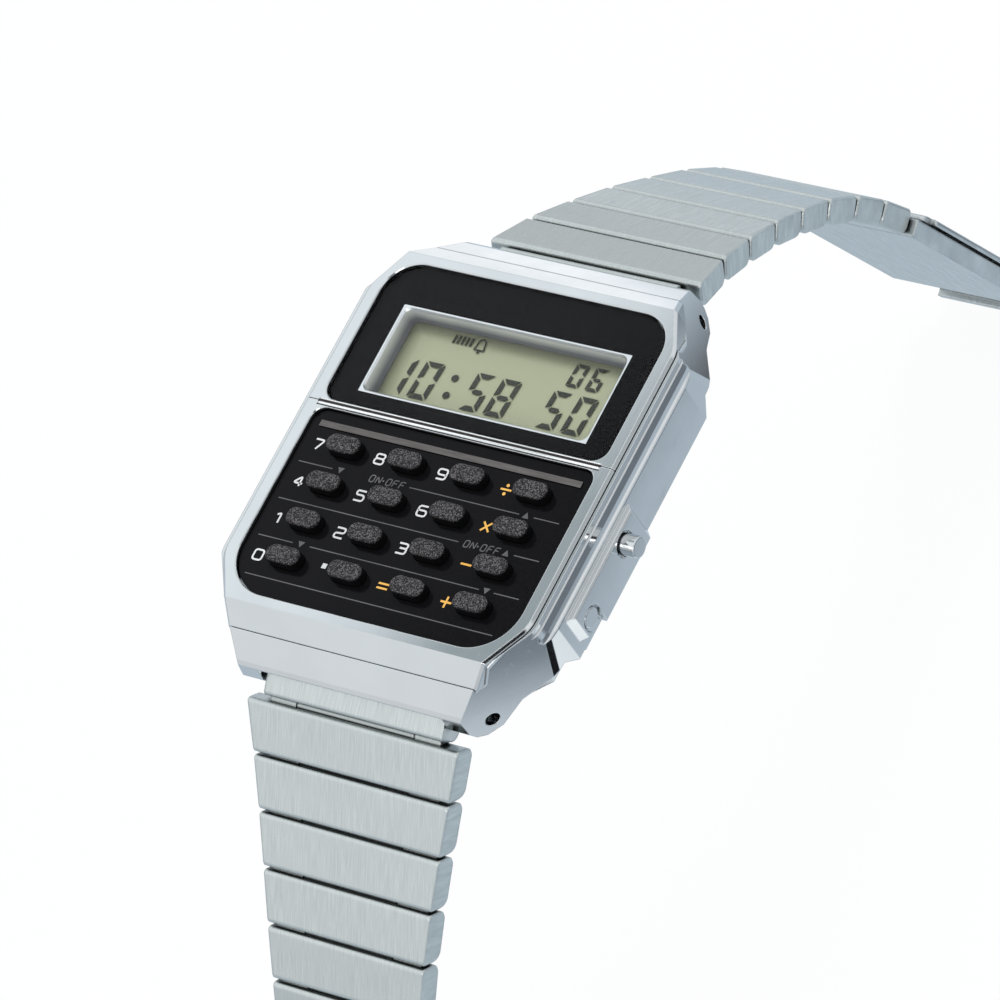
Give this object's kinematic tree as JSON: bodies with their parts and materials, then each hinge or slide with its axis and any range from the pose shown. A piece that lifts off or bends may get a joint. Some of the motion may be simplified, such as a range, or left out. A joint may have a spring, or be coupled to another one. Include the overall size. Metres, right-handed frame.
{
  "type": "calculator watch",
  "caption": "Wrist calculator watch: chamfered steel case with a display window, a keypad of small pill keys and side pushers, on an open tapering link bracelet with a ladder clasp.",
  "frame": {"origin": "centre of the case back's outer face", "axes": "+X to 3 o'clock, +Y to 12 o'clock along the bracelet, +Z out of the dial"},
  "size_m": [0.0344, 0.1127, 0.0623],
  "materials": {
    "polished_case": "polished",
    "bracelet_steel": "brushed along the bracelet",
    "clasp_steel": "brushed",
    "window_glass": "polished, dark",
    "window_mask": "black with a silver rim round the view",
    "lcd": "grey-green reflective",
    "connector_rubber": "matte",
    "keypad_panel": "gloss black",
    "key_cap": "fine grain",
    "mat_rubber": "matte",
    "board": "matte green",
    "module_plastic": "matte black",
    "cell_steel": "satin",
    "clip_steel": "satin",
    "buzzer_brass": "satin",
    "back_steel": "brushed",
    "gasket_rubber": "matte",
    "screw_steel": "satin",
    "spring_steel": "satin",
    "bar_steel": "satin"
  },
  "bodies": {
    "case": {"case_body": "polished_case", "upper_bezel": "polished_case", "lower_bezel": "polished_case", "display_window": "window_glass", "window_mask": "window_mask", "lcd_cell": "lcd", "connector_strips": "connector_rubber", "keypad_plate": "keypad_panel", "key_mat": "mat_rubber", "circuit_board": "board", "module_frame": "module_plastic", "battery_cell": "cell_steel", "battery_clip": "clip_steel", "buzzer_disc": "buzzer_brass", "case_back": "back_steel", "back_gasket": "gasket_rubber", "back_screws": "screw_steel", "pusher_springs": "spring_steel", "spring_bars": "bar_steel"},
    "key_7": {"key_7": "key_cap"},
    "key_8": {"key_8": "key_cap"},
    "key_9": {"key_9": "key_cap"},
    "key_divide": {"key_divide": "key_cap"},
    "key_4": {"key_4": "key_cap"},
    "key_5": {"key_5": "key_cap"},
    "key_6": {"key_6": "key_cap"},
    "key_multiply": {"key_multiply": "key_cap"},
    "key_1": {"key_1": "key_cap"},
    "key_2": {"key_2": "key_cap"},
    "key_3": {"key_3": "key_cap"},
    "key_minus": {"key_minus": "key_cap"},
    "key_0": {"key_0": "key_cap"},
    "key_point": {"key_point": "key_cap"},
    "key_equals": {"key_equals": "key_cap"},
    "key_plus": {"key_plus": "key_cap"},
    "mode_pusher": {"mode_pusher": "polished_case"},
    "adjust_pusher": {"adjust_pusher": "polished_case"},
    "upper_end_link": {"upper_end_link": "bracelet_steel"},
    "upper_link_1": {"upper_link_1": "bracelet_steel"},
    "upper_link_2": {"upper_link_2": "bracelet_steel"},
    "upper_link_3": {"upper_link_3": "bracelet_steel"},
    "upper_link_4": {"upper_link_4": "bracelet_steel"},
    "upper_link_5": {"upper_link_5": "bracelet_steel"},
    "upper_link_6": {"upper_link_6": "bracelet_steel"},
    "upper_link_7": {"upper_link_7": "bracelet_steel"},
    "upper_link_8": {"upper_link_8": "bracelet_steel"},
    "clasp_body": {"clasp_body": "clasp_steel"},
    "clasp_cover": {"clasp_cover": "clasp_steel"},
    "clasp_hook": {"clasp_hook": "clasp_steel"},
    "lower_end_link": {"lower_end_link": "bracelet_steel"},
    "lower_link_1": {"lower_link_1": "bracelet_steel"},
    "lower_link_2": {"lower_link_2": "bracelet_steel"},
    "lower_link_3": {"lower_link_3": "bracelet_steel"},
    "lower_link_4": {"lower_link_4": "bracelet_steel"},
    "lower_link_5": {"lower_link_5": "bracelet_steel"},
    "lower_link_6": {"lower_link_6": "bracelet_steel"},
    "lower_link_7": {"lower_link_7": "bracelet_steel"},
    "lower_link_8": {"lower_link_8": "bracelet_steel"},
    "lower_link_9": {"lower_link_9": "bracelet_steel"},
    "ladder_plate": {"ladder_plate": "clasp_steel"}
  },
  "joints": [
    {"name": "key_7_press", "type": "slide", "parent": "case", "child": "key_7", "axis": [0, 0, -1], "range_m": [0, 0.0003], "stiffness_N_per_m": 400, "springref_m": -0.0005, "deforming": ["key_mat"]},
    {"name": "key_8_press", "type": "slide", "parent": "case", "child": "key_8", "axis": [0, 0, -1], "range_m": [0, 0.0003], "stiffness_N_per_m": 400, "springref_m": -0.0005, "deforming": ["key_mat"]},
    {"name": "key_9_press", "type": "slide", "parent": "case", "child": "key_9", "axis": [0, 0, -1], "range_m": [0, 0.0003], "stiffness_N_per_m": 400, "springref_m": -0.0005, "deforming": ["key_mat"]},
    {"name": "key_divide_press", "type": "slide", "parent": "case", "child": "key_divide", "axis": [0, 0, -1], "range_m": [0, 0.0003], "stiffness_N_per_m": 400, "springref_m": -0.0005, "deforming": ["key_mat"]},
    {"name": "key_4_press", "type": "slide", "parent": "case", "child": "key_4", "axis": [0, 0, -1], "range_m": [0, 0.0003], "stiffness_N_per_m": 400, "springref_m": -0.0005, "deforming": ["key_mat"]},
    {"name": "key_5_press", "type": "slide", "parent": "case", "child": "key_5", "axis": [0, 0, -1], "range_m": [0, 0.0003], "stiffness_N_per_m": 400, "springref_m": -0.0005, "deforming": ["key_mat"]},
    {"name": "key_6_press", "type": "slide", "parent": "case", "child": "key_6", "axis": [0, 0, -1], "range_m": [0, 0.0003], "stiffness_N_per_m": 400, "springref_m": -0.0005, "deforming": ["key_mat"]},
    {"name": "key_multiply_press", "type": "slide", "parent": "case", "child": "key_multiply", "axis": [0, 0, -1], "range_m": [0, 0.0003], "stiffness_N_per_m": 400, "springref_m": -0.0005, "deforming": ["key_mat"]},
    {"name": "key_1_press", "type": "slide", "parent": "case", "child": "key_1", "axis": [0, 0, -1], "range_m": [0, 0.0003], "stiffness_N_per_m": 400, "springref_m": -0.0005, "deforming": ["key_mat"]},
    {"name": "key_2_press", "type": "slide", "parent": "case", "child": "key_2", "axis": [0, 0, -1], "range_m": [0, 0.0003], "stiffness_N_per_m": 400, "springref_m": -0.0005, "deforming": ["key_mat"]},
    {"name": "key_3_press", "type": "slide", "parent": "case", "child": "key_3", "axis": [0, 0, -1], "range_m": [0, 0.0003], "stiffness_N_per_m": 400, "springref_m": -0.0005, "deforming": ["key_mat"]},
    {"name": "key_minus_press", "type": "slide", "parent": "case", "child": "key_minus", "axis": [0, 0, -1], "range_m": [0, 0.0003], "stiffness_N_per_m": 400, "springref_m": -0.0005, "deforming": ["key_mat"]},
    {"name": "key_0_press", "type": "slide", "parent": "case", "child": "key_0", "axis": [0, 0, -1], "range_m": [0, 0.0003], "stiffness_N_per_m": 400, "springref_m": -0.0005, "deforming": ["key_mat"]},
    {"name": "key_point_press", "type": "slide", "parent": "case", "child": "key_point", "axis": [0, 0, -1], "range_m": [0, 0.0003], "stiffness_N_per_m": 400, "springref_m": -0.0005, "deforming": ["key_mat"]},
    {"name": "key_equals_press", "type": "slide", "parent": "case", "child": "key_equals", "axis": [0, 0, -1], "range_m": [0, 0.0003], "stiffness_N_per_m": 400, "springref_m": -0.0005, "deforming": ["key_mat"]},
    {"name": "key_plus_press", "type": "slide", "parent": "case", "child": "key_plus", "axis": [0, 0, -1], "range_m": [0, 0.0003], "stiffness_N_per_m": 400, "springref_m": -0.0005, "deforming": ["key_mat"]},
    {"name": "mode_pusher_press", "type": "slide", "parent": "case", "child": "mode_pusher", "axis": [-1, 0, 0], "range_m": [0, 0.0009], "stiffness_N_per_m": 600, "springref_m": -0.001, "deforming": ["pusher_springs"]},
    {"name": "adjust_pusher_press", "type": "slide", "parent": "case", "child": "adjust_pusher", "axis": [-1, 0, 0], "range_m": [0, 0.0005], "stiffness_N_per_m": 600, "springref_m": -0.001, "deforming": ["pusher_springs"]},
    {"name": "upper_end_hinge", "type": "hinge", "parent": "case", "child": "upper_end_link", "pos_m": [0, 0.01924, 0.00294], "axis": [1, 0, 0], "range_deg": [-12, 10]},
    {"name": "upper_hinge_1", "type": "hinge", "parent": "upper_end_link", "child": "upper_link_1", "pos_m": [0, 0.02188, 0.00201], "axis": [1, 0, 0], "range_deg": [-12, 12]},
    {"name": "upper_hinge_2", "type": "hinge", "parent": "upper_link_1", "child": "upper_link_2", "pos_m": [0, 0.02602, -0.00035], "axis": [1, 0, 0], "range_deg": [-12, 12]},
    {"name": "upper_hinge_3", "type": "hinge", "parent": "upper_link_2", "child": "upper_link_3", "pos_m": [0, 0.02981, -0.00322], "axis": [1, 0, 0], "range_deg": [-12, 12]},
    {"name": "upper_hinge_4", "type": "hinge", "parent": "upper_link_3", "child": "upper_link_4", "pos_m": [0, 0.03345, -0.00629], "axis": [1, 0, 0], "range_deg": [-12, 12]},
    {"name": "upper_hinge_5", "type": "hinge", "parent": "upper_link_4", "child": "upper_link_5", "pos_m": [0, 0.03686, -0.00961], "axis": [1, 0, 0], "range_deg": [-12, 12]},
    {"name": "upper_hinge_6", "type": "hinge", "parent": "upper_link_5", "child": "upper_link_6", "pos_m": [0, 0.04016, -0.01304], "axis": [1, 0, 0], "range_deg": [-12, 12]},
    {"name": "upper_hinge_7", "type": "hinge", "parent": "upper_link_6", "child": "upper_link_7", "pos_m": [0, 0.04307, -0.0168], "axis": [1, 0, 0], "range_deg": [-12, 12]},
    {"name": "upper_hinge_8", "type": "hinge", "parent": "upper_link_7", "child": "upper_link_8", "pos_m": [0, 0.04545, -0.02093], "axis": [1, 0, 0], "range_deg": [-12, 12]},
    {"name": "clasp_hinge", "type": "hinge", "parent": "upper_link_8", "child": "clasp_body", "pos_m": [0, 0.04739, -0.02528], "axis": [1, 0, 0], "range_deg": [-12, 12]},
    {"name": "cover_hinge", "type": "hinge", "parent": "clasp_body", "child": "clasp_cover", "pos_m": [0, 0.04841, -0.02778], "axis": [1, 0, 0], "range_deg": [0, 85]},
    {"name": "hook_hinge", "type": "hinge", "parent": "clasp_body", "child": "clasp_hook", "pos_m": [0, 0.05537, -0.04844], "axis": [1, 0, 0], "range_deg": [-30, 30]},
    {"name": "lower_end_hinge", "type": "hinge", "parent": "case", "child": "lower_end_link", "pos_m": [0, -0.01924, 0.00294], "axis": [1, 0, 0], "range_deg": [-10, 12]},
    {"name": "lower_hinge_1", "type": "hinge", "parent": "lower_end_link", "child": "lower_link_1", "pos_m": [0, -0.02166, 0.00154], "axis": [1, 0, 0], "range_deg": [-12, 12]},
    {"name": "lower_hinge_2", "type": "hinge", "parent": "lower_link_1", "child": "lower_link_2", "pos_m": [0, -0.02497, -0.00188], "axis": [1, 0, 0], "range_deg": [-12, 12]},
    {"name": "lower_hinge_3", "type": "hinge", "parent": "lower_link_2", "child": "lower_link_3", "pos_m": [0, -0.02833, -0.00526], "axis": [1, 0, 0], "range_deg": [-12, 12]},
    {"name": "lower_hinge_4", "type": "hinge", "parent": "lower_link_3", "child": "lower_link_4", "pos_m": [0, -0.03169, -0.00863], "axis": [1, 0, 0], "range_deg": [-12, 12]},
    {"name": "lower_hinge_5", "type": "hinge", "parent": "lower_link_4", "child": "lower_link_5", "pos_m": [0, -0.03499, -0.01206], "axis": [1, 0, 0], "range_deg": [-12, 12]},
    {"name": "lower_hinge_6", "type": "hinge", "parent": "lower_link_5", "child": "lower_link_6", "pos_m": [0, -0.03815, -0.01562], "axis": [1, 0, 0], "range_deg": [-12, 12]},
    {"name": "lower_hinge_7", "type": "hinge", "parent": "lower_link_6", "child": "lower_link_7", "pos_m": [0, -0.04108, -0.01937], "axis": [1, 0, 0], "range_deg": [-12, 12]},
    {"name": "lower_hinge_8", "type": "hinge", "parent": "lower_link_7", "child": "lower_link_8", "pos_m": [0, -0.0437, -0.02334], "axis": [1, 0, 0], "range_deg": [-12, 12]},
    {"name": "lower_hinge_9", "type": "hinge", "parent": "lower_link_8", "child": "lower_link_9", "pos_m": [0, -0.04594, -0.02755], "axis": [1, 0, 0], "range_deg": [-12, 12]},
    {"name": "ladder_hinge", "type": "hinge", "parent": "lower_link_9", "child": "ladder_plate", "pos_m": [0, -0.0478, -0.03193], "axis": [1, 0, 0], "range_deg": [-12, 12]}
  ]
}
